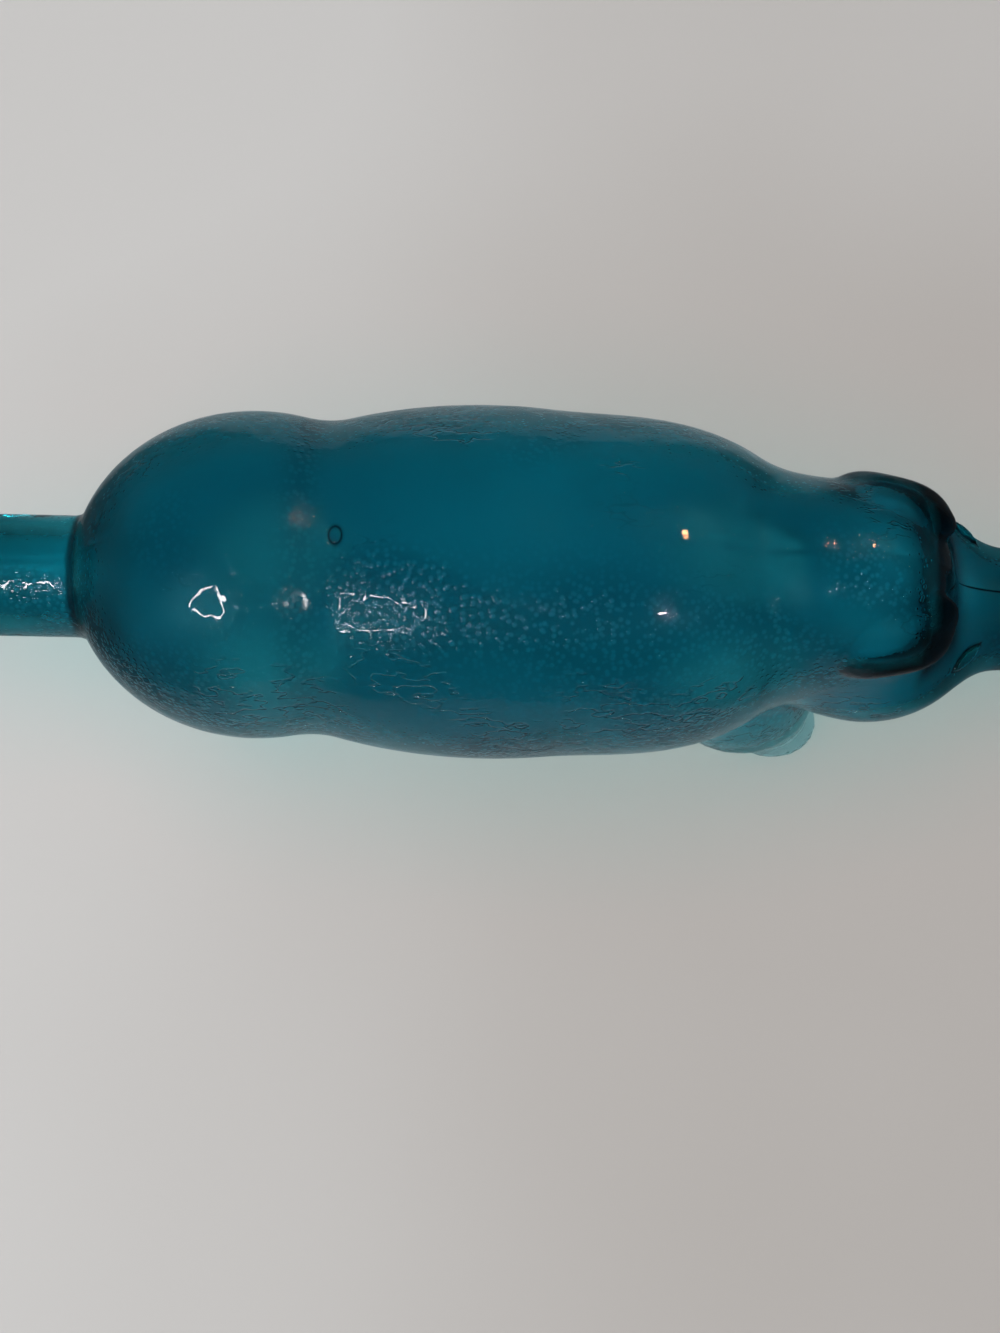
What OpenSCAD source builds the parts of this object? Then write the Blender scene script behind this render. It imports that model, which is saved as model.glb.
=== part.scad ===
// A pig-shaped bottle of blown glass: the rump carries the neck, and the four feet stand it up.
// The skin is one smooth form of eggs and cones that melt into each other. Rings are cast onto
// it from a spine that runs from the neck to the tip of the snout.

/* [Body] */
// Height of the body's middle above the soles
body_z = 51; // [47:0.5:56]
// Length of the trunk, from the neck's root to the throat
trunk_l = 156; // [150:1:166]
// Width across the hams
ham_w = 70; // [65:1:75]
// Height of the hams
ham_h = 71; // [66:1:76]
// Length of the hams, from the neck's root
ham_l = 79; // [74:1:84]
// Height of the hams' middle above the body's middle
ham_rise = 2; // [0:0.5:3]
// Width across the belly
belly_w = 76; // [72:1:80]
// Height of the belly
belly_h = 75; // [70:1:78]
// Length of the belly's egg
belly_l = 142; // [134:1:150]
// Width across the shoulders
shoulder_w = 69; // [65:1:72]
// Height of the shoulders
shoulder_h = 70; // [64:1:74]
// Length of the shoulders' egg
shoulder_l = 78; // [72:1:84]
// Thickness of the glass
wall = 3.4; // [2.6:0.1:4.2]

/* [Neck and mouth] */
// Length of the neck, from its root at the rump to the lip
neck_l = 45; // [34:1:60]
// Outer diameter of the neck
neck_d = 26.4; // [25:0.2:29]
// Height of the neck's axis below the body's middle
neck_drop = 2; // [-4:0.5:6]
// Bore of the neck, which a cork closes
bore_d = 17.5; // [14:0.5:19]
// Outer diameter of the collar round the mouth
collar_d = 30.5; // [29.5:0.5:34]
// Length of the collar
collar_l = 12; // [8:0.5:16]
// Rounding of the collar's edges
collar_round = 1.6; // [0.8:0.2:2.2]

/* [Head] */
// Length of the head, from the throat to the tip of the snout
head_l = 56; // [50:1:62]
// Width of the throat
throat_w = 47; // [44:1:50]
// Width of the head at the top
poll_w = 42; // [38:1:45]
// Height of the top of the head above the body's middle
poll_rise = 27; // [24:0.5:30]
// Width across the cheeks
cheek_w = 53; // [48:1:56]
// Height of the cheeks' egg
cheek_h = 38; // [34:1:42]
// Drop of the snout's tip below the body's middle
snout_drop = 15; // [12:0.5:18]
// Diameter of the snout's disc
snout_d = 25.5; // [23:0.5:28]
// Rounding of the snout's disc
snout_round = 3; // [2:0.5:4]
// Tilt of the snout's disc, in degrees
snout_tilt = 16; // [8:1:22]
// Diameter of each nostril
nostril_d = 5; // [3:0.5:6]
// Distance between the middles of the nostrils
nostril_gap = 9.5; // [8:0.5:11]
// Distance from the throat to the back edge of an ear
ear_back = 6.5; // [5.5:0.5:8]
// Distance from the throat to the tip of an ear
ear_reach = 29; // [28:0.5:30]
// Distance of an ear's free edge from the middle of the head
ear_out = 22.3; // [21.5:0.2:23.5]
// Thickness of an ear where it leaves the head, and at its tip
ear_root_t = 9; // [8:0.5:10]
ear_tip_t = 5; // [4:0.5:6]
// Length of an eye
eye_l = 8.6; // [7:0.2:9.4]
// Width of an eye
eye_w = 3.6; // [3:0.2:4.4]

/* [Feet] */
// Distance of the front feet's middles from the throat, towards the snout
front_reach = 0; // [-5:1:4]
// Distance of the hind feet's middles from the neck's root
hind_reach = 37; // [32:1:44]
// Distance between the middles of the front feet
front_stance = 38; // [35:1:42]
// Distance between the middles of the hind feet
hind_stance = 32; // [30:1:36]
// Width of a foot at its sole
foot_w = 15; // [12:0.5:17]
// Width of a leg inside the belly
leg_w = 28; // [24:0.5:31]

/* [Hidden] */
// Fineness of the turned surfaces
turned_fn = 40;
bore_fn = 96;
ball_fn = 20;
// Faces round a ring of the skin, of the hollow and of a limb
skin_sides = 40;
hollow_sides = 24;
limb_sides = 16;
// Steps of the search that casts a ring's point onto the form
cast_steps = 12;
// How much closer the points lie under the belly than along the back
underside_share = 0.45;
// Widest and narrowest distance between two rings of the skin
ring_wide = 6;
ring_fine = 2.2;
// Rings of the hollow lie this much further apart
hollow_stretch = 2;
// The cast glass stands this far into the bore, which is then reamed to its size
ream = 0.4;
// How softly the forms melt into each other
soft_waist = 3;
soft_trunk = 8;
soft_head = 6;
soft_neck = 3;

// Lengths are counted from the neck's root, which is at zero
waist_share = 0.75;
waist_x = ham_l * waist_share;
throat_x = trunk_l;
tip_x = trunk_l + head_l;
neck_z = body_z - neck_drop;
// The eggs that the trunk melts together from
ham_in = 0.5;
ham_c = [ham_l / 2 - ham_in, 0, body_z + ham_rise];
ham_r = [ham_l, ham_w, ham_h] / 2;
belly_ahead = 9;
belly_c = [ham_l + belly_ahead, 0, body_z];
belly_r = [belly_l, belly_w, belly_h] / 2;
shoulder_back = 33;
shoulder_sink = 1;
shoulder_c = [throat_x - shoulder_back, 0, body_z - shoulder_sink];
shoulder_r = [shoulder_l, shoulder_w, shoulder_h] / 2;
// The eggs and the cone that the throat and the head melt together from
throat_h = 60;
throat_l = 50;
throat_c = [throat_x, 0, body_z];
throat_r = [throat_l, throat_w, throat_h] / 2;
poll_h = 50;
poll_l = 35;
poll_ahead = 14.5;
poll_c = [throat_x + poll_ahead, 0, body_z + poll_rise - poll_h / 2];
poll_r = [poll_l, poll_w, poll_h] / 2;
cheek_l = 55;
cheek_drop = 11;
cheek_ahead = 15;
cheek_c = [throat_x + cheek_ahead, 0, body_z - cheek_drop];
cheek_r = [cheek_l, cheek_w, cheek_h] / 2;
snout_root_r = 16;
tip = [tip_x, 0, body_z - snout_drop];
snout_axis = [cos(snout_tilt), 0, -sin(snout_tilt)];
nostril_out = 0.8;
// The ears droop over the sides of the head and point forwards. Each is stretched over balls at
// its root behind, its root in front, its back edge, its lower edge and its tip, which lie this
// far above the body's middle.
ear_root_r = ear_root_t / 2;
ear_tip_r = ear_tip_t / 2;
ear_edge_r = (ear_root_r + ear_tip_r) / 2;
ear_rise = [20.5, 18.5, 20, 15.5, 9.8];
// The roots lie inside the head, this far from its middle
ear_back_root_y = 11;
ear_front_root_y = 9.5;
// The back edge lies this far ahead of the root, and it and the tip this far inside the free edge
ear_edge_ahead = 1;
ear_edge_in = 2;
ear_tip_in = 2.5;
// Distance from the throat to the middle of the free edge
ear_low_x = 18.5;
ear_back_x = throat_x + ear_back + ear_root_r;
ear_front_x = throat_x + ear_reach;
ear_balls = [
    [ear_back_x, ear_back_root_y, ear_root_r],
    [ear_front_x - ear_edge_r, ear_front_root_y, ear_edge_r],
    [ear_back_x + ear_edge_ahead, ear_out - ear_edge_in - ear_root_r, ear_root_r],
    [throat_x + ear_low_x, ear_out - ear_edge_r, ear_edge_r],
    [ear_front_x - ear_tip_r, ear_out - ear_tip_in - ear_tip_r, ear_tip_r]];
// The eyes are sunk into the face where it narrows to the snout
eye_ahead = 34.6;
eye_in = 13.5;
eye_sink = 3.3;
eye_c = [throat_x + eye_ahead, cheek_w / 2 - eye_in, body_z - eye_sink];
eye_turn = [0, -7.5, -45];
eye_roll = 38;
// The legs lean towards the middle of the body
front_x = throat_x + front_reach;
hind_x = hind_reach;
front_lean = 20;
hind_lean = -5;
leg_inset = 4;
haunch_z = 22;
haunch_power = 1.4;
leg_top_z = 42;
leg_long = 1.2;
hoof_flare = 1.2;
hoof_h = 8;
sole_round = 1;
leg_levels = [0, sole_round, 5, 10, 16, haunch_z, 28, 34, 38, 41];
// The glass of a foot is this thick, and its hollow ends inside that of the body
sole_t = 4.5;
foot_hollow_levels = [sole_t, 6, 10, 16, haunch_z, 28, 34];
foot_hollow_round = 1.5;
limb_angles = [for (i = [0:limb_sides - 1]) i * 360 / limb_sides];
foot_hollow_angles = [for (i = [0:2:limb_sides - 1]) limb_angles[i]];
// The skin starts inside the neck, behind its root
root_x = -9;
// No point of the skin is further than this from the spine
cast_reach = 64;
// Half the stretch over which the rings lie closer at the rump, the waist and the snout
rump_stretch = 9;
waist_stretch = 7;
snout_stretch = 34;
// The spine has its full tilt this far before the snout's tip
tilt_before = 6;

function clamp(t) = min(max(t, 0), 1);
function ease(t) = let (u = clamp(t)) u * u * (3 - 2 * u);
// Two forms melt together over a distance k, outwards or, for a cut, inwards
function melt(a, b, k) = let (h = max(k - abs(a - b), 0) / k) min(a, b) - h * h * k / 4;
function cut(a, b, k) = -melt(-a, -b, k);
// Distance of a point from an egg and from a cone with round ends
function egg(p, c, r) =
    let (q = [(p.x - c.x) / r.x, (p.y - c.y) / r.y, (p.z - c.z) / r.z], k = norm(q))
    k * (k - 1) / max(norm([q.x / r.x, q.y / r.y, q.z / r.z]), 0.001);
function cone(p, a, b, ra, rb) =
    let (ab = b - a, t = clamp((p - a) * ab / (ab * ab)))
    norm(p - a - t * ab) - ra - (rb - ra) * t;

function trunk(p) = melt(
    melt(egg(p, ham_c, ham_r), egg(p, belly_c, belly_r), soft_waist),
    egg(p, shoulder_c, shoulder_r), soft_trunk);
function head(p) = melt(
    melt(egg(p, poll_c, poll_r), egg(p, cheek_c, cheek_r), soft_head),
    cone(p, cheek_c, tip, snout_root_r, snout_d / 2), soft_head);
function throat(p) = egg(p, throat_c, throat_r);
function neck(p) = cone(
    p, [-neck_l, 0, neck_z], [ham_c.x, 0, neck_z], neck_d / 2, neck_d / 2);
function throat_of_bore(p) = cone(
    p, [-neck_l, 0, neck_z], [ham_c.x, 0, neck_z], bore_d / 2 - ream, bore_d / 2 - ream);

// The pig without its ears and legs, and the same with its neck and the snout's disc
function core(p) = melt(trunk(p), melt(throat(p), head(p), soft_head), soft_head);
function skin(p) = cut(
    melt(core(p), neck(p), soft_neck), (p - tip) * snout_axis, snout_round);
function hollow(p) = cut(
    melt(core(p) + wall, throat_of_bore(p), soft_neck),
    (p - tip) * snout_axis + wall * 2, snout_round);

// The spine: its height and its tilt at a distance x along the body
function spine_z(x) = x < ham_c.x
    ? neck_z + (body_z - neck_z) * ease(x / ham_c.x)
    : body_z - snout_drop * ease((x - throat_x) / (tip_x - throat_x));
function spine_tilt(x) = snout_tilt * ease((x - throat_x) / (tip_x - throat_x - tilt_before));
// Rings lie closer at the rump, at the waist and along the head
function near(x, c, w) = 1 - ease((abs(x - c) - w) / w);
function ring_gap(x) = ring_wide - (ring_wide - ring_fine) * max(
    near(x, 0, rump_stretch), near(x, waist_x, waist_stretch), near(x, tip_x, snout_stretch));
function rings(x, last, k) = x >= last - ring_fine * k / 2
    ? [last]
    : concat([x], rings(x + ring_gap(x) * k, last, k));
function side_angle(t) = 360 * t - underside_share * sin(360 * t) * 180 / PI;

// Casts a point from the spine onto the skin or the hollow, by halving the distance
function cast(from, way, near_r, far_r, steps, inner) =
    let (mid = (near_r + far_r) / 2)
    steps == 0 ? from + mid * way
    : (inner ? hollow(from + mid * way) : skin(from + mid * way)) < 0
    ? cast(from, way, mid, far_r, steps - 1, inner)
    : cast(from, way, near_r, mid, steps - 1, inner);
function ring(x, sides, inner) =
    let (tilt = spine_tilt(x), from = [x, 0, spine_z(x)],
        half = [for (j = [0:sides / 2]) let (a = side_angle(j / sides))
            cast(from, [-cos(a) * sin(tilt), sin(a), -cos(a) * cos(tilt)], 0, cast_reach,
                cast_steps, inner)])
    concat(half, [for (j = [sides / 2 - 1:-1:1]) [half[j].x, -half[j].y, half[j].z]]);

skin_rings = [for (x = rings(root_x, tip_x, 1)) ring(x, skin_sides, false)];
// The foremost point of the snout's tilted disc
front_end = max([for (r = skin_rings, p = r) p.x]);

// A closed form through rings of equal counts, with a flat face at each end
module loft(ring_list) {
    n = len(ring_list[0]);
    last = len(ring_list) - 1;
    polyhedron(
        points = [for (r = ring_list) each r],
        faces = concat(
            [[for (j = [0:n - 1]) j]],
            [for (i = [0:last - 1], j = [0:n - 1]) let (k = (j + 1) % n)
                each [[i * n + j, (i + 1) * n + j, (i + 1) * n + k],
                    [i * n + j, (i + 1) * n + k, i * n + k]]],
            [[for (j = [n - 1:-1:0]) last * n + j]]));
}

module skin_form() {
    loft(skin_rings);
}

module hollow_form() {
    loft([for (x = rings(root_x, tip_x - wall * 2, hollow_stretch)) ring(x, hollow_sides, true)]);
}

// The neck with its collar, turned about the bore's axis
module neck_form() {
    edge_r = collar_d / 2 - collar_round;
    translate([0, 0, neck_z]) rotate([0, -90, 0]) rotate_extrude($fn = turned_fn) polygon(concat(
        [[0, root_x + 1], [neck_d / 2, root_x + 1], [neck_d / 2, neck_l - collar_l]],
        [for (a = [0:30:90]) [edge_r + collar_round * sin(a),
            neck_l - collar_l + collar_round * (1 - cos(a))]],
        [for (a = [0:30:90]) [edge_r + collar_round * cos(a),
            neck_l - collar_round * (1 - sin(a))]],
        [[0, neck_l]]));
}

// A round hole from outside the mouth to a distance x behind the neck's root
module drill(x, d, fn) {
    translate([-neck_l - 1, 0, neck_z]) rotate([0, 90, 0])
        cylinder(h = neck_l + 1 + x, d = d, $fn = fn);
}

module nostrils() {
    for (side = [-1, 1])
        translate(tip + [nostril_out, side * nostril_gap / 2, 0]) sphere(d = nostril_d, $fn = ball_fn);
}

// A leg: sections from the sole, through a flared hoof, up to a haunch that closes in the belly
function leg_r(z) =
    (foot_w / 2 + (leg_w - foot_w) / 2 * pow(min(z / haunch_z, 1), haunch_power)
        + hoof_flare * (1 - ease(z / hoof_h)) - (z == 0 ? sole_round : 0))
    * (z > haunch_z ? sqrt(1 - pow((z - haunch_z) / (leg_top_z - haunch_z), 2)) : 1);
module leg(x, stance, lean, side) {
    loft([for (z = leg_levels) let (t = z / leg_top_z)
        [for (a = limb_angles) [x - lean * t + leg_long * leg_r(z) * cos(a),
            side * (stance / 2 - leg_inset * t) + leg_r(z) * sin(a), z]]]);
}
// The hollow of a leg, which the body's hollow runs down into
module leg_hollow(x, stance, lean, side) {
    loft([for (z = foot_hollow_levels)
        let (t = z / leg_top_z, r = leg_r(z) - wall - (z == sole_t ? foot_hollow_round : 0))
        [for (a = foot_hollow_angles) [x - lean * t + leg_long * r * cos(a),
            side * (stance / 2 - leg_inset * t) + r * sin(a), z]]]);
}

module legs() {
    for (side = [-1, 1]) {
        leg(front_x, front_stance, front_lean, side);
        leg(hind_x, hind_stance, hind_lean, side);
    }
}

module leg_hollows() {
    for (side = [-1, 1]) {
        leg_hollow(front_x, front_stance, front_lean, side);
        leg_hollow(hind_x, hind_stance, hind_lean, side);
    }
}

// A form and its mirror image on the other side of the pig
module on_both_sides() {
    for (side = [0, 1]) mirror([0, side, 0]) children();
}

module ear() {
    hull() for (i = [0:len(ear_balls) - 1])
        translate([ear_balls[i].x, ear_balls[i].y, body_z + ear_rise[i]])
            sphere(r = ear_balls[i].z, $fn = ball_fn);
}

// An almond eye: the lens where two balls meet, on end, sunk into the face
module eye() {
    lens_r = (eye_l * eye_l + eye_w * eye_w) / (4 * eye_w);
    translate(eye_c) rotate(eye_turn) rotate([eye_roll, 0, 0])
        intersection_for (side = [-1, 1])
            translate([0, 0, side * (lens_r - eye_w / 2)]) sphere(r = lens_r, $fn = ball_fn);
}

// The glass as blown, before the bore is reamed
module blown_glass() {
    difference() {
        union() {
            skin_form();
            neck_form();
            legs();
            on_both_sides() ear();
            on_both_sides() eye();
        }
        hollow_form();
        leg_hollows();
        drill(root_x + 1, bore_d - 2 * ream, hollow_sides);
        nostrils();
    }
}

// The whole bottle: resize to no new size makes the blown glass one mesh, so that only the
// bore is cut as a true cylinder
module bottle() {
    color([0.02, 0.42, 0.47, 0.75]) translate([(neck_l - front_end) / 2, 0, 0]) difference() {
        resize([0, 0, 0]) blown_glass();
        drill(wall * 2, bore_d, bore_fn);
    }
}

bottle();
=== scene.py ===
"""The looks of the pig-shaped bottle: one piece of teal glass on a pale floor, in soft studio light."""
import math

import bpy
import numpy as np
from mathutils import Matrix, Vector


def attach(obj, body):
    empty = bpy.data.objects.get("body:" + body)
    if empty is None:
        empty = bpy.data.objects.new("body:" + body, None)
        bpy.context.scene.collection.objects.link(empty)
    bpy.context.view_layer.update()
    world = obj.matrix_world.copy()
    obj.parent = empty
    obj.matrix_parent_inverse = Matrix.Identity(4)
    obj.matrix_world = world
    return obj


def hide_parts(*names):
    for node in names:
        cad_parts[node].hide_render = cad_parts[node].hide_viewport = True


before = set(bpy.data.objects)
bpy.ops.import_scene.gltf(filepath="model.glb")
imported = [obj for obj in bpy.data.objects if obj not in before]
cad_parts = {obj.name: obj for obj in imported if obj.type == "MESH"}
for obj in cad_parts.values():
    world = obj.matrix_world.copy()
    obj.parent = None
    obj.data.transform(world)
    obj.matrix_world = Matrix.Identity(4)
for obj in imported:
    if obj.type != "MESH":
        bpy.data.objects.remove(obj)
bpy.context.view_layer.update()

# Sizes in millimetres, with the names and values of the part's source
BODY_Z = 51.0
TRUNK_L = 156.0
HAM_W = 70.0
HAM_H = 71.0
HAM_L = 79.0
HAM_IN = 0.5
HAM_RISE = 2.0
BELLY_W = 76.0
BELLY_H = 75.0
BELLY_L = 142.0
BELLY_AHEAD = 9.0
SHOULDER_W = 69.0
SHOULDER_H = 70.0
SHOULDER_L = 78.0
SHOULDER_BACK = 33.0
SHOULDER_SINK = 1.0
WALL = 3.4
NECK_L = 45.0
NECK_D = 26.4
NECK_DROP = 2.0
BORE_D = 17.5
COLLAR_D = 30.5
COLLAR_L = 12.0
COLLAR_ROUND = 1.6
HEAD_L = 56.0
THROAT_W = 47.0
THROAT_H = 60.0
THROAT_L = 50.0
POLL_W = 42.0
POLL_H = 50.0
POLL_L = 35.0
POLL_RISE = 27.0
POLL_AHEAD = 14.5
CHEEK_W = 53.0
CHEEK_H = 38.0
CHEEK_L = 55.0
CHEEK_DROP = 11.0
CHEEK_AHEAD = 15.0
SNOUT_DROP = 15.0
SNOUT_D = 25.5
SNOUT_ROOT_R = 16.0
SNOUT_ROUND = 3.0
SNOUT_TILT = math.radians(16.0)
NOSTRIL_D = 5.0
NOSTRIL_GAP = 9.5
NOSTRIL_OUT = 0.8
EYE_AHEAD = 34.6
EYE_IN = 13.5
EYE_SINK = 3.3
EYE_L = 8.6
EYE_W = 3.6
FRONT_STANCE = 38.0
HIND_STANCE = 32.0
HIND_REACH = 37.0
FOOT_W = 15.0
LEG_W = 28.0
HAUNCH_Z = 22.0
HAUNCH_POWER = 1.4
LEG_TOP_Z = 42.0
LEG_LONG = 1.2
LEG_INSET = 4.0
HOOF_FLARE = 1.2
HOOF_H = 8.0
FRONT_LEAN = 20.0
HIND_LEAN = -5.0
SOLE_T = 4.5
SOFT_WAIST = 3.0
SOFT_TRUNK = 8.0
SOFT_HEAD = 6.0
SOFT_NECK = 3.0

# What is shaped more finely here than in the source: how softly forms melt together or end, the seam,
# the ears, the eyes' height, and a wall whose thickness varies
SOFT_LEG = 7.0
SOFT_EAR = 2.0
SOFT_EYE = 0.8
SOFT_COLLAR = 1.0
SOFT_HOLLOW_EAR = 3.0
NECK_EDGE = 1.0
SOLE_EDGE = 1.5
HOLLOW_SOLE_EDGE = 2.0
NOSTRIL_EDGE = 1.0
MOUTH_EDGE = 1.2
SEAM_H = 0.12
SEAM_W = 0.6
EAR_L = 22.6
EAR_W = 17.0
EAR_T = 9.6
EAR_POWER = 3.0
EYE_RISE = 0.6
UNEVEN = 0.35
LEG_WALL = WALL - 0.8
LEG_HOLLOW_Z = SOLE_T - 1.0
BORE_PAST_MOUTH = 9.0
BROW_T = 4.5
BROW_X = 31.0
BROW_UP = 12.0
BROW_REACH = np.array([7.0, 26.0, 16.0])
WAIST_X = 50.5

# Lengths are counted from the neck's root, and the middle of the bottle's box lies here
MIDDLE = np.array([84.515, 0.0, 0.0])
THROAT_X = TRUNK_L
TIP_X = TRUNK_L + HEAD_L
NECK_Z = BODY_Z - NECK_DROP
TIP = np.array([TIP_X, 0.0, BODY_Z - SNOUT_DROP])
SNOUT_AXIS = np.array([math.cos(SNOUT_TILT), 0.0, -math.sin(SNOUT_TILT)])

# Spacing of the mesh's grid, and how much finer it is at the neck, the head, the feet and the seam
FINE_GAP = 1.3
END_SHARE = 0.8
SEAM_GAP = 0.5
SEAM_HALF = 1.5

# Soft ovals on the bottle seen from above: strength, x and y of the middle, half length, half width
HAMMERED_SPOTS = [(1.3, 112.0, -18.0, 26.0, 12.0), (1.0, 72.0, -14.0, 14.0, 9.0)]
WRINKLED_SPOTS = [(1.0, 117.0, 5.0, 7.0, 4.0)]
SPECKLED_SPOTS = [
    (1.0, 128.0, 2.5, 5.0, 2.5), (1.0, 139.0, 0.5, 10.0, 1.6), (1.0, 173.0, -10.0, 7.0, 5.0),
    (1.0, 172.0, -1.0, 8.0, 2.0), (0.5, 34.0, -15.0, 9.0, 9.0), (0.6, -6.0, -5.0, 14.0, 5.0)]
CLOUD_SPOTS = [
    (-0.4, 47.0, -8.0, 20.0, 20.0), (-0.25, 146.0, 0.0, 12.0, 14.0), (0.4, 170.0, 0.0, 12.0, 18.0)]

# Colours as linear red, green, blue and alpha
WHITE = (1.0, 1.0, 1.0, 1.0)
TEAL = (0.040, 0.41, 0.525, 1.0)
CLOUDY_TEAL = (0.078, 0.67, 0.785, 1.0)
DARK_TEAL = (0.02, 0.22, 0.31, 1.0)
THIN_GLASS = (0.86, 0.93, 0.93, 1.0)
# Near-black teal for painted shade and for the dark marks
SHADE_AND_MARK_TEAL = (0.0, 0.003, 0.007, 1.0)
GLASS_DEPTH = (0.0, 0.85, 0.875, 1.0)
FLOOR_LIGHT = (0.57, 0.56, 0.55, 1.0)
FLOOR_SHADED = (0.445, 0.42, 0.40, 1.0)
FLOOR_IN_GLOSS = (0.27, 0.29, 0.30, 1.0)
FLOOR_IN_GLOSS_FAR = (0.03, 0.036, 0.04, 1.0)
ROOM_LOW = (0.05, 0.054, 0.058, 1.0)
ROOM_HIGH = (0.010, 0.011, 0.012, 1.0)
BACKDROP = (0.42, 0.41, 0.40, 1.0)
WARM = (1.0, 0.40, 0.16)

# The glass: how it bends and dims light, and how rough it is outside, inside and in the crease
GLASS_IOR = 1.45
GLASS_DENSITY = 45.0
SKIN_ROUGH = 0.03
CAVITY_ROUGH = 0.31
CREASE_ROUGH = 0.12
# The relief of the skin in metres, the size of its grains as counts per metre, and each one's share
RELIEF = 0.00014
DOMES_SCALE = 780.0
WRINKLE_SCALE = 300.0
WRINKLE_STRETCH = (0.45, 1.0, 1.0)
PEEL_SCALE = 190.0
PEEL_RELIEF = 1.8
DIPS_RELIEF = -0.6
WRINKLE_RELIEF = -1.2
BLISTER_RELIEF = -2.0
LID_RELIEF = -2.5
DIPS_SHADE = 0.75
WRINKLE_SHADE = 0.7
SPECKLED_PITS = 1.7
ALL_PITS = 0.25
# The ring-shaped blister on the back, in metres, and how much narrower it is along than across
BLISTER_AT = (-0.0264, -0.0002, 0.0)
BLISTER_R = 0.0013
BLISTER_LINE = 0.00036
BLISTER_NARROW = 0.72
# The line around each eye, in metres
LID_OUT = 0.0001
LID_LINE = 0.0004

FLOOR_SIDE = 1.3
FLOOR_ROUGH = 0.6
UNEVEN_LIGHT_SCALE = 9.0

# The camera looks down on the back, a little from the near side
ELEVATION = math.radians(77.0)
ROLL = math.radians(-1.2)
DISTANCE = 0.450
AIM_X = 0.0065
AIM_Y = -0.018
AIM_Z = 0.050
FOCAL_PIXELS = 2083.0
FRAME_PIXELS = 1333.0
SENSOR_WIDTH = 36.0


def melt(a, b, k):
    """Two forms melt together over a distance k."""
    h = np.maximum(k - np.abs(a - b), 0.0) / k
    return np.minimum(a, b) - h * h * k / 4.0


def cut(a, b, k):
    """Two forms cut each other over a distance k."""
    return -melt(-a, -b, k)


def egg(p, c, r):
    """Distance from an egg with middle c and half sizes r."""
    r = np.array(r, float)
    q = (p - np.array(c, float)) / r
    k = np.linalg.norm(q, axis=-1)
    return k * (k - 1.0) / np.maximum(np.linalg.norm(q / r, axis=-1), 0.001)


def cone(p, a, b, ra, rb):
    """Distance from a cone with round ends between the points a and b."""
    a = np.array(a, float)
    ab = np.array(b, float) - a
    t = np.clip((p - a) @ ab / (ab @ ab), 0.0, 1.0)
    return np.linalg.norm(p - a - t[..., None] * ab, axis=-1) - ra - (rb - ra) * t


def cushion(p, c, axes, r, power):
    """Distance from a cushion: an egg whose outline is squarer than an oval."""
    q = (p - np.array(c, float)) @ (np.array(axes, float).T / np.array(r, float))
    flat = np.maximum((np.abs(q[..., :2]) ** power).sum(-1), 1e-9)
    k = np.sqrt(flat ** (2.0 / power) + q[..., 2] ** 2)
    lean = flat[..., None] ** (2.0 / power - 1.0) * np.abs(q[..., :2]) ** (power - 1.0)
    grow = np.concatenate([lean, q[..., 2:]], -1) / np.array(r, float)
    return k * (k - 1.0) / np.maximum(np.linalg.norm(grow, axis=-1), 0.001)


def drum(p, x0, x1, r, edge):
    """Distance from a round bar along X with rounded edges, on the neck's axis."""
    out = np.hypot(p[..., 1], p[..., 2] - NECK_Z) - r + edge
    along = np.abs(p[..., 0] - (x0 + x1) / 2.0) - (x1 - x0) / 2.0 + edge
    within = np.minimum(np.maximum(out, along), 0.0)
    return within + np.hypot(np.maximum(out, 0.0), np.maximum(along, 0.0)) - edge


def trunk(p):
    """Hams, belly and shoulders."""
    ham = egg(p, [HAM_L / 2 - HAM_IN, 0, BODY_Z + HAM_RISE], [HAM_L / 2, HAM_W / 2, HAM_H / 2])
    belly = egg(p, [HAM_L + BELLY_AHEAD, 0, BODY_Z], [BELLY_L / 2, BELLY_W / 2, BELLY_H / 2])
    shoulder_c = [THROAT_X - SHOULDER_BACK, 0, BODY_Z - SHOULDER_SINK]
    shoulder = egg(p, shoulder_c, [SHOULDER_L / 2, SHOULDER_W / 2, SHOULDER_H / 2])
    return melt(melt(ham, belly, SOFT_WAIST), shoulder, SOFT_TRUNK)


def head(p):
    """Poll, cheeks and snout."""
    poll_c = [THROAT_X + POLL_AHEAD, 0, BODY_Z + POLL_RISE - POLL_H / 2]
    poll = egg(p, poll_c, [POLL_L / 2, POLL_W / 2, POLL_H / 2])
    cheek_c = [THROAT_X + CHEEK_AHEAD, 0, BODY_Z - CHEEK_DROP]
    cheek = egg(p, cheek_c, [CHEEK_L / 2, CHEEK_W / 2, CHEEK_H / 2])
    snout = cone(p, cheek_c, TIP, SNOUT_ROOT_R, SNOUT_D / 2)
    return melt(melt(poll, cheek, SOFT_HEAD), snout, SOFT_HEAD)


def core(p):
    """The trunk and the head, joined by the throat."""
    throat = egg(p, [THROAT_X, 0, BODY_Z], [THROAT_L / 2, THROAT_W / 2, THROAT_H / 2])
    return melt(trunk(p), melt(throat, head(p), SOFT_HEAD), SOFT_HEAD)


def ease(t):
    """A smooth step from 0 at zero to 1 at one."""
    u = np.clip(t, 0.0, 1.0)
    return u * u * (3.0 - 2.0 * u)


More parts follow.
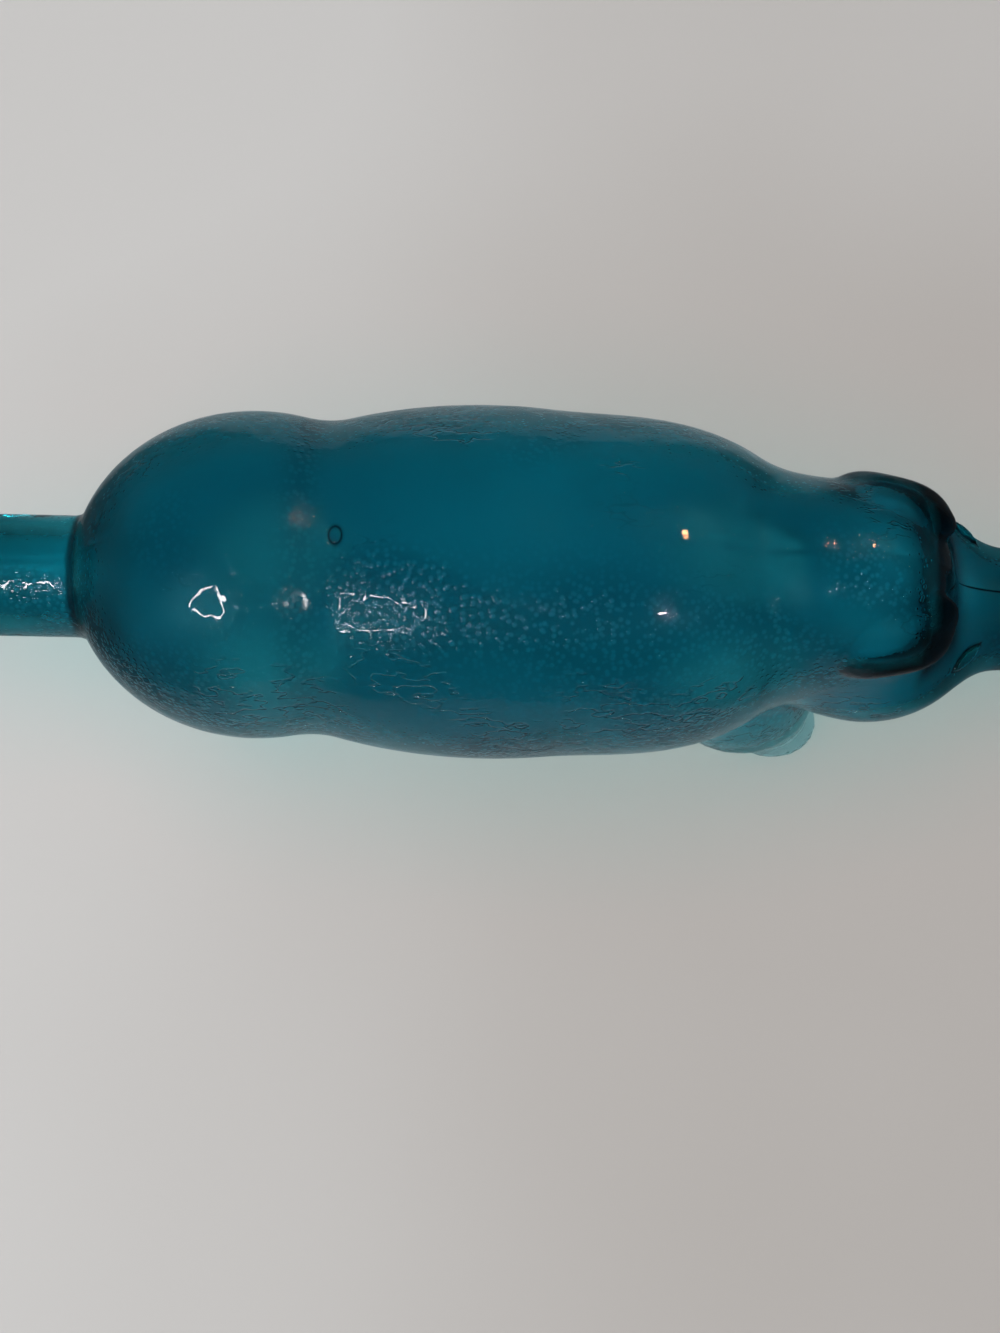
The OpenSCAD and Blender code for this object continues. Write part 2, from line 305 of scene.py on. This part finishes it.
def leg_side(p, x, stance, lean):
    """Distance from the sides of a pair of legs, which widen from the hoof up into the haunch."""
    z = np.clip(p[..., 2], 0.0, LEG_TOP_Z)
    t = z / LEG_TOP_Z
    r = FOOT_W / 2 + (LEG_W - FOOT_W) / 2 * np.minimum(z / HAUNCH_Z, 1.0) ** HAUNCH_POWER
    r = r + HOOF_FLARE * (1.0 - ease(z / HOOF_H))
    shut = np.clip((z - HAUNCH_Z) / (LEG_TOP_Z - HAUNCH_Z), 0.0, 0.98)
    r = r * np.sqrt(1.0 - shut * shut)
    away_x = (p[..., 0] - x + lean * t) / LEG_LONG
    away_y = np.abs(p[..., 1]) - stance / 2 + LEG_INSET * t
    return np.maximum(np.hypot(away_x, away_y) - r, p[..., 2] - LEG_TOP_Z)


def legs(p, less=0.0, bottom=0.0, edge=SOLE_EDGE):
    """All four legs, thinner by the given amount and ending at a flat bottom."""
    front = leg_side(p, THROAT_X, FRONT_STANCE, FRONT_LEAN)
    hind = leg_side(p, HIND_REACH, HIND_STANCE, HIND_LEAN)
    return cut(np.minimum(front, hind) + less, bottom - p[..., 2], edge)


def mirror_y(p):
    """The same points, all on the far side."""
    return np.stack([p[..., 0], np.abs(p[..., 1]), p[..., 2]], -1)


def unit(v):
    """The way of a vector, with length one."""
    return v / np.linalg.norm(v)


# An ear droops over the side of the head: its length runs forwards, its width out and down
EAR_AT = np.array([THROAT_X + 18.0, 14.3, BODY_Z + 15.6])
EAR_LONG = np.array([0.97, 0.02, -0.24])
EAR_WIDE = np.array([0.10, 0.74, -0.66])
EAR_AXES = [unit(EAR_LONG), unit(EAR_WIDE), unit(np.cross(EAR_LONG, EAR_WIDE))]


def ear(p, less=0.0):
    """The ears, each a cushion on the side of the head."""
    half = [EAR_L / 2 - less, EAR_W / 2 - less, EAR_T / 2]
    return cushion(mirror_y(p), EAR_AT - less * EAR_AXES[2], EAR_AXES, half, EAR_POWER)


# The eyes look out along this way, and their long axis runs forwards and in
EYE_LONG = np.array([0.70, -0.70, 0.13])
EYE_OUT = np.array([0.50, 0.61, 0.61])
EYE_TALL = np.cross(EYE_OUT, EYE_LONG)
EYE_AXES = [unit(EYE_LONG), unit(EYE_TALL), unit(np.cross(EYE_LONG, EYE_TALL))]
# The radius of the two arcs that meet at an eye's corners
EYE_BOW = (EYE_L * EYE_L + EYE_W * EYE_W) / (4 * EYE_W)
# The eye's middle lies where the way out from this point meets the face
EYE_FROM = np.array([THROAT_X + EYE_AHEAD, CHEEK_W / 2 - EYE_IN, BODY_Z - EYE_SINK])
eye_way = EYE_FROM + np.linspace(-6.0, 12.0, 721)[:, None] * EYE_AXES[2]
EYE_AT = eye_way[np.argmin(np.abs(core(eye_way)))]


def eye(p):
    """The eyes, each an almond dome."""
    q = (mirror_y(p) - EYE_AT) @ np.array(EYE_AXES).T
    rise = q[..., 2] * EYE_W / (2 * EYE_RISE)
    up = np.sqrt(q[..., 0] ** 2 + (np.abs(q[..., 1]) + EYE_BOW - EYE_W / 2) ** 2 + rise ** 2)
    return (up - EYE_BOW) * 0.8


def seam(p):
    """The mould's seam, a fine ridge in the plane between the two halves."""
    return SEAM_H * np.exp(-(p[..., 1] / SEAM_W) ** 2)


def wave(p):
    """The uneven thickness of blown glass, between -1 and 1: waves whose lengths don't fit together."""
    x, y, z = p[..., 0], p[..., 1], p[..., 2]
    long_waves = np.sin(x / 7.3 + 1.4 * np.sin(y / 9.1 + 0.4)) * np.cos(z / 8.3 + 0.9 * np.sin(x / 13.0))
    short_waves = np.sin(x / 4.1 + y / 5.7 + 1.1) * np.sin(z / 6.1 - x / 17.0)
    return 0.65 * long_waves + 0.35 * short_waves


def brow(p):
    """How much thicker the glass is where the forehead drops to the snout."""
    away = (p - np.array([THROAT_X + BROW_X, 0.0, BODY_Z + BROW_UP])) / BROW_REACH
    return BROW_T * np.exp(-(away * away).sum(-1))


def outside(p):
    """The outer surface of the glass."""
    d = melt(core(p), legs(p), SOFT_LEG)
    d = melt(d, ear(p), SOFT_EAR)
    d = melt(d, eye(p), SOFT_EYE)
    d = melt(d, drum(p, -NECK_L, HAM_L / 2, NECK_D / 2, NECK_EDGE), SOFT_NECK)
    d = cut(d - seam(p), (p - TIP) @ SNOUT_AXIS, SNOUT_ROUND)
    d = np.maximum(d, -p[..., 2])
    collar = drum(p, -NECK_L, COLLAR_L - NECK_L, COLLAR_D / 2, COLLAR_ROUND)
    nostril_c = TIP + np.array([NOSTRIL_OUT, NOSTRIL_GAP / 2, 0.0])
    nostril = np.linalg.norm(mirror_y(p) - nostril_c, axis=-1) - NOSTRIL_D / 2
    return cut(melt(d, collar, SOFT_COLLAR), -nostril, NOSTRIL_EDGE)


def inside(p):
    """The inner surface of the glass, with the bore."""
    d = melt(core(p) + WALL, ear(p, WALL), SOFT_HOLLOW_EAR)
    d = melt(d, legs(p, LEG_WALL, LEG_HOLLOW_Z, HOLLOW_SOLE_EDGE), SOFT_LEG)
    d = d + UNEVEN * wave(p) + brow(p)
    d = melt(d, drum(p, -NECK_L - BORE_PAST_MOUTH, HAM_L / 2, BORE_D / 2, NECK_EDGE), SOFT_NECK)
    return cut(d, (p - TIP) @ SNOUT_AXIS + WALL * 2, SNOUT_ROUND)


def glass(p):
    """The glass between the two surfaces."""
    return cut(outside(p), -inside(p), MOUTH_EDGE)


def patchy(p, size, seed):
    """Soft patches about the given size, between -1 and 1."""
    x, y, z = p[..., 0] / size, p[..., 1] / size, p[..., 2] / size
    a = np.sin(x + 1.7 * np.sin(0.8 * y + seed) + seed)
    return a * np.cos(1.1 * y + 1.3 * np.sin(z + x / 2.3) + 2.1 * seed)


def step(value, zero_at, one_at):
    """A smooth step from 0 at one value to 1 at another, upwards or downwards."""
    return ease((value - zero_at) / (one_at - zero_at))


def spots(p, ovals):
    """The sum of soft ovals seen from above."""
    total = np.zeros(len(p))
    for strength, x, y, long, wide in ovals:
        total += strength * np.exp(-((p[..., 0] - x) / long) ** 2 - ((p[..., 1] - y) / wide) ** 2)
    return total


def painted_shade_places(p):
    """Where painted shade makes the glass deep teal: the forehead's end, the ears' edges and the neck's
    root.
    """
    x, y, z = p[..., 0], p[..., 1], p[..., 2]
    x_brow = x - THROAT_X - BROW_X
    forehead = step(x_brow, -8.5, -5.5) * step(x_brow, 5.5, 0.5) * step(z, 46.0, 54.0)
    on_ear = (mirror_y(p) - EAR_AT) @ np.array(EAR_AXES).T
    ahead, down = on_ear[..., 0], on_ear[..., 1]
    ear_edge = np.maximum(step(down, 2.5, 5.5), step(ahead, 1.5, 4.5) * step(down, -5.0, -2.0))
    ear_edge = ear_edge * step(ear(p), 1.4, 0.4)
    from_axis = np.hypot(y, z - NECK_Z)
    neck_root = step(x, -1.0, 0.5) * step(x, 9.0, 5.0) * step(from_axis, 20.0, 16.0)
    return np.maximum(np.maximum(forehead, ear_edge), 0.75 * neck_root)


def masks(p):
    """Where the skin of the glass looks different, from 0 to 1, by name."""
    x, y, z = p[..., 0], p[..., 1], p[..., 2]
    y_out = np.abs(y)
    cavity = np.abs(inside(p)) < np.abs(outside(p))
    skin = 1.0 - cavity
    on_top = step(z, 60.0, 70.0)
    thin = step(legs(p), 2.5, 0.0) * step(z, 36.0, 8.0)
    crease = np.exp(-((x - WAIST_X) / 4.0) ** 2) * on_top
    near_side = step(y, 4.0, -12.0)
    hammered = spots(p, HAMMERED_SPOTS) + step(patchy(p, 11.0, 1.0) + 0.6 * near_side, 0.5, 1.3)
    flank = step(y_out, 20.0, 29.0)
    wrinkled = step(patchy(p, 8.0, 4.0) + 1.1 * flank, 0.7, 1.1) + spots(p, WRINKLED_SPOTS) * on_top
    speckled = spots(p, SPECKLED_SPOTS) * step(z, 55.0, 63.0)
    neck = step(x, 2.0, -1.0)
    cloud = 0.28 + 0.16 * patchy(p, 17.0, 2.5) + 0.38 * step(y_out, 6.0, 24.0) + 0.7 * neck
    return {
        "cavity": cavity,
        "cloud": np.clip(cloud + spots(p, CLOUD_SPOTS), 0.0, 1.0),
        "thin": thin,
        "hammered": np.minimum(hammered + crease, 1.0) * skin,
        "wrinkled": np.minimum(wrinkled, 1.0) * skin * (1.0 - thin),
        # Painted shade at the forehead's end, the ears' edges and the neck's root
        "deep": painted_shade_places(p),
        "crease": crease * skin,
        "speckled": np.minimum(speckled, 1.0) * skin,
    }


def slope(field, p, reach=0.05):
    """The gradient of a field, by differences."""
    out = np.empty_like(p)
    for i in range(3):
        d = np.zeros(3)
        d[i] = reach
        out[:, i] = (field(p + d) - field(p - d)) / (2 * reach)
    return out


def net(field, xs, ys, zs):
    """Surface nets: one vertex in each cell that the field's zero passes through, joined by quads."""
    grid = np.stack(np.meshgrid(xs, ys, zs, indexing="ij"), -1)
    value = np.empty(grid.shape[:3])
    for i in range(len(xs)):
        value[i] = field(grid[i].reshape(-1, 3)).reshape(grid.shape[1:3])
    solid = value < 0
    shape = tuple(n - 1 for n in value.shape)
    total = np.zeros(shape + (3,))
    count = np.zeros(shape)
    corners = [(i, j, k) for i in (0, 1) for j in (0, 1) for k in (0, 1)]

    def corner(a, c):
        return a[c[0]:c[0] + shape[0], c[1]:c[1] + shape[1], c[2]:c[2] + shape[2]]

    for a in corners:
        for axis in range(3):
            if a[axis]:
                continue
            b = list(a)
            b[axis] = 1
            va, vb = corner(value, a), corner(value, b)
            crossed = corner(solid, a) != corner(solid, b)
            t = np.where(crossed, va / np.where(crossed, va - vb, 1.0), 0.0)[..., None]
            meets = corner(grid, a) * (1 - t) + corner(grid, b) * t
            total += np.where(crossed[..., None], meets, 0.0)
            count += crossed
    used = count > 0
    index = np.full(shape, -1)
    index[used] = np.arange(used.sum())
    points = total[used] / count[used][:, None]
    quads = []
    for axis in range(3):
        u, v = [(1, 2), (2, 0), (0, 1)][axis]
        low = [slice(None)] * 3
        high = [slice(None)] * 3
        low[axis] = slice(0, -1)
        high[axis] = slice(1, None)
        for s in (low, high):
            s[u] = slice(1, -1)
            s[v] = slice(1, -1)
        inner, outer = solid[tuple(low)], solid[tuple(high)]
        cell = np.argwhere(inner != outer)
        flip = outer[inner != outer]
        around = []
        for du, dv in ((0, 0), (1, 0), (1, 1), (0, 1)):
            c = cell.copy()
            c[:, u] += du
            c[:, v] += dv
            around.append(index[c[:, 0], c[:, 1], c[:, 2]])
        loop = np.stack(around, 1)
        loop[flip] = loop[flip][:, ::-1]
        quads.append(loop)
    return points, np.concatenate(quads)


def settle(field, points, rounds=4):
    """Moves each vertex onto the field's zero."""
    for _ in range(rounds):
        g = slope(field, points)
        value = field(points)
        size = np.maximum((g * g).sum(1), 0.05)
        points = points - (np.clip(value / size, -0.6, 0.6))[:, None] * g
    return points


def spaced(start, stops):
    """Grid lines from start through (end, spacing) stretches."""
    out = [np.array([start])]
    for end, gap in stops:
        first = out[-1][-1]
        n = max(1, int(round((end - first) / gap)))
        out.append(np.linspace(first, end, n + 1)[1:])
    return np.concatenate(out)


def put(name, data):
    """A new object in the scene."""
    thing = bpy.data.objects.new(name, data)
    bpy.context.scene.collection.objects.link(thing)
    return thing


def new_material(name):
    """An empty material and its node tree."""
    material = bpy.data.materials.new(name)
    material.use_nodes = True
    tree = material.node_tree
    tree.nodes.clear()
    return material, tree


def add(tree, kind, **values):
    """A node with the given inputs."""
    node = tree.nodes.new(kind)
    for name, value in values.items():
        node.inputs[name].default_value = value
    return node


def join(tree, source, target):
    """A link between two sockets."""
    tree.links.new(source, target)


def feed(tree, value, target):
    """Sets a socket to a plain value or links another socket to it."""
    if isinstance(value, bpy.types.NodeSocket):
        join(tree, value, target)
    else:
        target.default_value = value


def output(tree, kind, socket):
    """The given output of a new node."""
    return tree.nodes.new(kind).outputs[socket]


def maths(tree, kind, *values):
    """One step of arithmetic between sockets or numbers."""
    node = tree.nodes.new("ShaderNodeMath")
    node.operation = kind
    for i, value in enumerate(values):
        feed(tree, value, node.inputs[i])
    return node.outputs[0]


def vector_maths(tree, kind, where, fixed):
    """One step of arithmetic between a socket and a fixed vector."""
    node = tree.nodes.new("ShaderNodeVectorMath")
    node.operation = kind
    node.inputs[1].default_value = fixed
    join(tree, where, node.inputs[0])
    return node


def split(tree, where):
    """The X, Y and Z sockets of a place."""
    node = tree.nodes.new("ShaderNodeSeparateXYZ")
    join(tree, where, node.inputs[0])
    return node.outputs


def place_of(tree, **parts):
    """A place from its X, Y and Z sockets, with 0 for one that is left out."""
    node = tree.nodes.new("ShaderNodeCombineXYZ")
    for name, value in parts.items():
        join(tree, value, node.inputs[name])
    return node.outputs[0]


def noise(tree, where, scale, detail=1.0, stretch=(1.0, 1.0, 1.0)):
    """Noise whose grains are 1/scale metres across, and longer where stretch is below one."""
    mapping = add(tree, "ShaderNodeMapping", Scale=stretch)
    join(tree, where, mapping.inputs["Vector"])
    node = add(tree, "ShaderNodeTexNoise", Scale=scale, Detail=detail)
    join(tree, mapping.outputs[0], node.inputs["Vector"])
    return node.outputs["Fac"]


def band(tree, value, low, high):
    """A smooth step from 0 at low to 1 at high."""
    node = add(tree, "ShaderNodeMapRange")
    node.interpolation_type = "SMOOTHSTEP"
    node.inputs["From Min"].default_value = low
    node.inputs["From Max"].default_value = high
    join(tree, value, node.inputs["Value"])
    return node.outputs["Result"]


def ring_line(tree, distance, radius, width):
    """A line of the given width, 1 in its middle, where distance is radius."""
    off = maths(tree, "DIVIDE", maths(tree, "SUBTRACT", distance, radius), width)
    return maths(tree, "POWER", 2.718, maths(tree, "MULTIPLY", maths(tree, "MULTIPLY", off, off), -1.0))


def mask(tree, name):
    """What a vertex of the mesh holds under the given name."""
    node = tree.nodes.new("ShaderNodeAttribute")
    node.attribute_name = name
    return node.outputs["Fac"]


def mix_colours(tree, share, first, second):
    """From the first colour at share 0 to the second at 1."""
    node = tree.nodes.new("ShaderNodeMix")
    node.data_type = "RGBA"
    join(tree, share, node.inputs["Factor"])
    feed(tree, first, node.inputs["A"])
    feed(tree, second, node.inputs["B"])
    return node.outputs["Result"]


def eyelid(tree, x, y_out, z):
    """The dark line along the two arcs around each eye."""
    middle = ((EYE_AT - MIDDLE) / 1000.0).tolist()
    from_eye = vector_maths(tree, "SUBTRACT", place_of(tree, X=x, Y=y_out, Z=z), middle).outputs[0]
    long, tall, out = [
        vector_maths(tree, "DOT_PRODUCT", from_eye, axis.tolist()).outputs["Value"] for axis in EYE_AXES]
    bow = EYE_BOW / 1000.0
    tall = maths(tree, "ADD", maths(tree, "ABSOLUTE", tall), bow - EYE_W / 2000.0)
    squares = maths(tree, "MULTIPLY_ADD", tall, tall, maths(tree, "MULTIPLY", long, long))
    line = ring_line(tree, maths(tree, "SQRT", squares), bow + LID_OUT, LID_LINE)
    return maths(tree, "MULTIPLY", line, band(tree, maths(tree, "ABSOLUTE", out), 0.006, 0.004))


def teal_glass():
    """The glass: teal by its depth and its skin, smooth outside and rough inside."""
    material, tree = new_material("teal_glass")
    shader = add(tree, "ShaderNodeBsdfPrincipled", IOR=GLASS_IOR)
    shader.inputs["Transmission Weight"].default_value = 1.0
    place = output(tree, "ShaderNodeTexCoord", "Object")
    x, y, z = split(tree, place)
    y_out = maths(tree, "ABSOLUTE", y)
    within = mask(tree, "cavity")
    skin = maths(tree, "SUBTRACT", 1.0, within)
    rough = maths(tree, "MULTIPLY_ADD", within, CAVITY_ROUGH, SKIN_ROUGH)
    rough = maths(tree, "MULTIPLY_ADD", mask(tree, "crease"), CREASE_ROUGH, rough)
    join(tree, rough, shader.inputs["Roughness"])

    # Hammered patches: small shallow domes with darker dips between them
    domes = add(tree, "ShaderNodeTexVoronoi", Scale=DOMES_SCALE)
    join(tree, place, domes.inputs["Vector"])
    from_dome = domes.outputs["Distance"]
    dips = maths(tree, "MULTIPLY", band(tree, from_dome, 0.20, 0.58), mask(tree, "hammered"))
    # Pits that catch the lamps as specks
    many = maths(tree, "MULTIPLY_ADD", mask(tree, "speckled"), SPECKLED_PITS, ALL_PITS)
    pits = maths(tree, "MULTIPLY", band(tree, from_dome, 0.03, 0.36), many)
    # Wrinkles that the cold mould left, mostly along the flanks
    wrinkle = noise(tree, place, WRINKLE_SCALE, 2.0, WRINKLE_STRETCH)
    wrinkle = band(tree, maths(tree, "ABSOLUTE", maths(tree, "SUBTRACT", wrinkle, 0.5)), 0.035, 0.0)
    wrinkle = maths(tree, "MULTIPLY", wrinkle, mask(tree, "wrinkled"))
    # A ring-shaped blister on the back
    seen_from_above = place_of(tree, X=x, Y=maths(tree, "MULTIPLY", y, BLISTER_NARROW))
    from_blister = vector_maths(tree, "DISTANCE", seen_from_above, BLISTER_AT).outputs["Value"]
    blister = ring_line(tree, from_blister, BLISTER_R, BLISTER_LINE)
    on_back = maths(tree, "MULTIPLY", band(tree, z, 0.055, 0.065), skin)
    blister = maths(tree, "MULTIPLY", blister, on_back)
    lid = eyelid(tree, x, y_out, z)
    # The mould's seam shows as a dark line on the forehead and the snout
    seam_line = maths(tree, "MULTIPLY", band(tree, y_out, 0.0004, 0.0001), band(tree, x, 0.094, 0.100))

    # The colour: mottled, darker in the dips and wrinkles, paler on the thin legs
    colour = mix_colours(tree, mask(tree, "cloud"), TEAL, CLOUDY_TEAL)
    dark = maths(tree, "MULTIPLY_ADD", wrinkle, WRINKLE_SHADE, maths(tree, "MULTIPLY", dips, DIPS_SHADE))
    colour = mix_colours(tree, dark, colour, DARK_TEAL)
    colour = mix_colours(tree, mask(tree, "thin"), colour, THIN_GLASS)
    # Painted shade darkens the forehead's end, the ears' edges and the neck's root to near-black teal; the
    # blister, the eyelids and the seam are dark marks in the same colour
    deep = maths(tree, "MAXIMUM", mask(tree, "deep"), blister)
    deep = maths(tree, "MAXIMUM", deep, maths(tree, "MAXIMUM", lid, seam_line))
    colour = mix_colours(tree, maths(tree, "MULTIPLY", deep, skin), colour, SHADE_AND_MARK_TEAL)
    join(tree, colour, shader.inputs["Base Color"])

    # The relief
    peel = noise(tree, place, PEEL_SCALE)
    height = maths(tree, "MULTIPLY_ADD", dips, DIPS_RELIEF, maths(tree, "MULTIPLY", peel, PEEL_RELIEF))
    height = maths(tree, "MULTIPLY_ADD", wrinkle, WRINKLE_RELIEF, height)
    height = maths(tree, "MULTIPLY_ADD", blister, BLISTER_RELIEF, height)
    height = maths(tree, "ADD", pits, height)
    height = maths(tree, "MULTIPLY_ADD", lid, LID_RELIEF, height)
    bump = add(tree, "ShaderNodeBump", Strength=1.0, Distance=RELIEF)
    join(tree, maths(tree, "MULTIPLY", height, skin), bump.inputs["Height"])
    join(tree, bump.outputs[0], shader.inputs["Normal"])

    # Light passes straight through to the floor, which keeps the shadow soft and free of grain
    clear = add(tree, "ShaderNodeBsdfTransparent", Color=WHITE)
    path = tree.nodes.new("ShaderNodeLightPath")
    passing = maths(tree, "MAXIMUM", path.outputs["Is Shadow Ray"], path.outputs["Is Diffuse Ray"])
    mix = tree.nodes.new("ShaderNodeMixShader")
    depth = add(tree, "ShaderNodeVolumeAbsorption", Color=GLASS_DEPTH, Density=GLASS_DENSITY)
    out = tree.nodes.new("ShaderNodeOutputMaterial")
    join(tree, passing, mix.inputs[0])
    join(tree, shader.outputs[0], mix.inputs[1])
    join(tree, clear.outputs[0], mix.inputs[2])
    join(tree, mix.outputs[0], out.inputs["Surface"])
    join(tree, depth.outputs[0], out.inputs["Volume"])
    return material


def pale_floor():
    """The floor, unevenly lit, and darker where the glass mirrors it, which keeps its edges deep."""
    material, tree = new_material("pale_floor")
    shader = add(tree, "ShaderNodeBsdfPrincipled", Roughness=FLOOR_ROUGH)
    place = output(tree, "ShaderNodeTexCoord", "Object")
    x, y, _ = split(tree, place)
    # Painted light and shade on the floor: lighter to the left and on the far side, darker to the right, in
    # soft patches
    shade = band(tree, x, -0.14, 0.08)
    shade = maths(tree, "MULTIPLY_ADD", band(tree, y, 0.05, 0.16), -0.5, shade)
    uneven_light = maths(tree, "SUBTRACT", noise(tree, place, UNEVEN_LIGHT_SCALE), 0.5)
    shade = maths(tree, "MULTIPLY_ADD", uneven_light, 0.5, shade)
    seen = mix_colours(tree, shade, FLOOR_LIGHT, FLOOR_SHADED)
    far_off = band(tree, maths(tree, "ABSOLUTE", x), 0.085, 0.14)
    mirrored = mix_colours(tree, far_off, FLOOR_IN_GLOSS, FLOOR_IN_GLOSS_FAR)
    in_gloss = output(tree, "ShaderNodeLightPath", "Is Glossy Ray")
    join(tree, mix_colours(tree, in_gloss, seen, mirrored), shader.inputs["Base Color"])
    out = tree.nodes.new("ShaderNodeOutputMaterial")
    join(tree, shader.outputs[0], out.inputs["Surface"])
    return material


def area_light(name, place, aim, size, power, colour=(1.0, 1.0, 1.0)):
    """A round lamp that shines from a place towards an aim."""
    data = bpy.data.lights.new(name, "AREA")
    data.shape = "DISK"
    data.size = size
    data.energy = power
    data.color = colour
    lamp = put(name, data)
    lamp.location = place
    lamp.rotation_euler = (Vector(aim) - Vector(place)).to_track_quat("-Z", "Y").to_euler()
    return lamp


def ring(lamp, hole):
    """Makes a round lamp shine only outside the given share of its radius."""
    lamp.data.use_nodes = True
    tree = lamp.data.node_tree
    spot = output(tree, "ShaderNodeNewGeometry", "Parametric")
    from_middle = vector_maths(tree, "DISTANCE", spot, (0.5, 0.5, 0.0)).outputs["Value"]
    shines = maths(tree, "GREATER_THAN", from_middle, hole / 2)
    join(tree, shines, tree.nodes["Emission"].inputs["Strength"])


def room():
    """A room that is grey at the horizon and darker above, with a pale backdrop around it."""
    world = bpy.data.worlds.new("soft_room")
    bpy.context.scene.world = world
    world.use_nodes = True
    tree = world.node_tree
    ramp = tree.nodes.new("ShaderNodeValToRGB")
    low, high = ramp.color_ramp.elements
    low.position = 0.0
    low.color = ROOM_LOW
    high.position = 0.35
    high.color = ROOM_HIGH
    join(tree, split(tree, output(tree, "ShaderNodeTexCoord", "Generated"))["Z"], ramp.inputs[0])
    path = tree.nodes.new("ShaderNodeLightPath")
    seen = maths(tree, "MAXIMUM", path.outputs["Is Camera Ray"], path.outputs["Is Transmission Ray"])
    join(tree, mix_colours(tree, seen, ramp.outputs[0], BACKDROP), tree.nodes["Background"].inputs["Color"])


def photo_view():
    """The camera at the photograph's place."""
    across = Vector((math.cos(ROLL), -math.sin(ROLL), 0.0))
    away = Vector((math.sin(ROLL), math.cos(ROLL), 0.0))
    ahead = away * math.cos(ELEVATION) - Vector((0, 0, 1)) * math.sin(ELEVATION)
    up = away * math.sin(ELEVATION) + Vector((0, 0, 1)) * math.cos(ELEVATION)
    aim = Vector((0, 0, AIM_Z)) + across * AIM_X + up * AIM_Y
    view = bpy.data.cameras.new("view")
    view.sensor_fit = "AUTO"
    view.sensor_width = SENSOR_WIDTH
    view.lens = FOCAL_PIXELS / FRAME_PIXELS * SENSOR_WIDTH
    view.clip_start = 0.01
    view.clip_end = 50.0
    camera = put("camera", view)
    turn = Matrix((across, up, -ahead)).transposed()
    camera.matrix_world = Matrix.Translation(aim - ahead * DISTANCE) @ turn.to_4x4()
    bpy.context.scene.camera = camera
    bpy.context.scene.view_settings.view_transform = "Standard"


# The bottle: one closed mesh with both surfaces of the glass
GAP = FINE_GAP
xs = spaced(-NECK_L - 2.6, [(-30, GAP * END_SHARE), (150, GAP), (TIP_X + 6, GAP * END_SHARE)])
ys = spaced(-41.0, [(-SEAM_HALF, GAP), (SEAM_HALF, SEAM_GAP), (41.0, GAP)])
zs = spaced(-2.0, [(8.0, GAP * END_SHARE), (91.0, GAP)])
points, quads = net(glass, xs, ys, zs)
points = settle(glass, points)
normals = slope(glass, points)
normals /= np.maximum(np.linalg.norm(normals, axis=1), 1e-6)[:, None]
placed = (points - MIDDLE) / 1000.0

mesh = bpy.data.meshes.new("blown_bottle")
mesh.from_pydata(placed.tolist(), [], quads.tolist())
mesh.shade_smooth()
mesh.normals_split_custom_set_from_vertices(normals.tolist())
for name, value in masks(points).items():
    mesh.attributes.new(name, "FLOAT", "POINT").data.foreach_set("value", value.astype(np.float32))
mesh.validate()
bottle = put("blown_bottle", mesh)
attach(bottle, "root")
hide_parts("bottle")
mesh.materials.append(teal_glass())
print("blown_bottle", len(points), "vertices", len(quads), "quads")

floor_mesh = bpy.data.meshes.new("floor")
sides = [(-1, -1), (1, -1), (1, 1), (-1, 1)]
floor_mesh.from_pydata([(FLOOR_SIDE * x, FLOOR_SIDE * y, 0) for x, y in sides], [], [(0, 1, 2, 3)])
floor = put("floor", floor_mesh)
floor_mesh.materials.append(pale_floor())

# The soft light from above, which shows neither as a highlight nor through the glass
soft = area_light("soft_top", (-0.5, -0.2, 2.1), (0, 0, 0), 2.6, 65.0)
soft.visible_glossy = False
soft.visible_transmission = False
# The lamps that only show as highlights on the back
BACK = (0, 0, 0.08)
ring_left = area_light("ring_left", (-0.75, -1.04, 1.42), BACK, 0.70, 33.0)
ring(ring_left, 0.90)
ring_right = area_light("ring_right", (0.66, -0.98, 1.50), BACK, 0.06, 0.8)
warm_bulb = area_light("warm_bulb", (0.76, 0.76, 1.55), BACK, 0.09, 1.6, WARM)
for lamp in (ring_left, ring_right, warm_bulb):
    lamp.visible_diffuse = False
room()
photo_view()
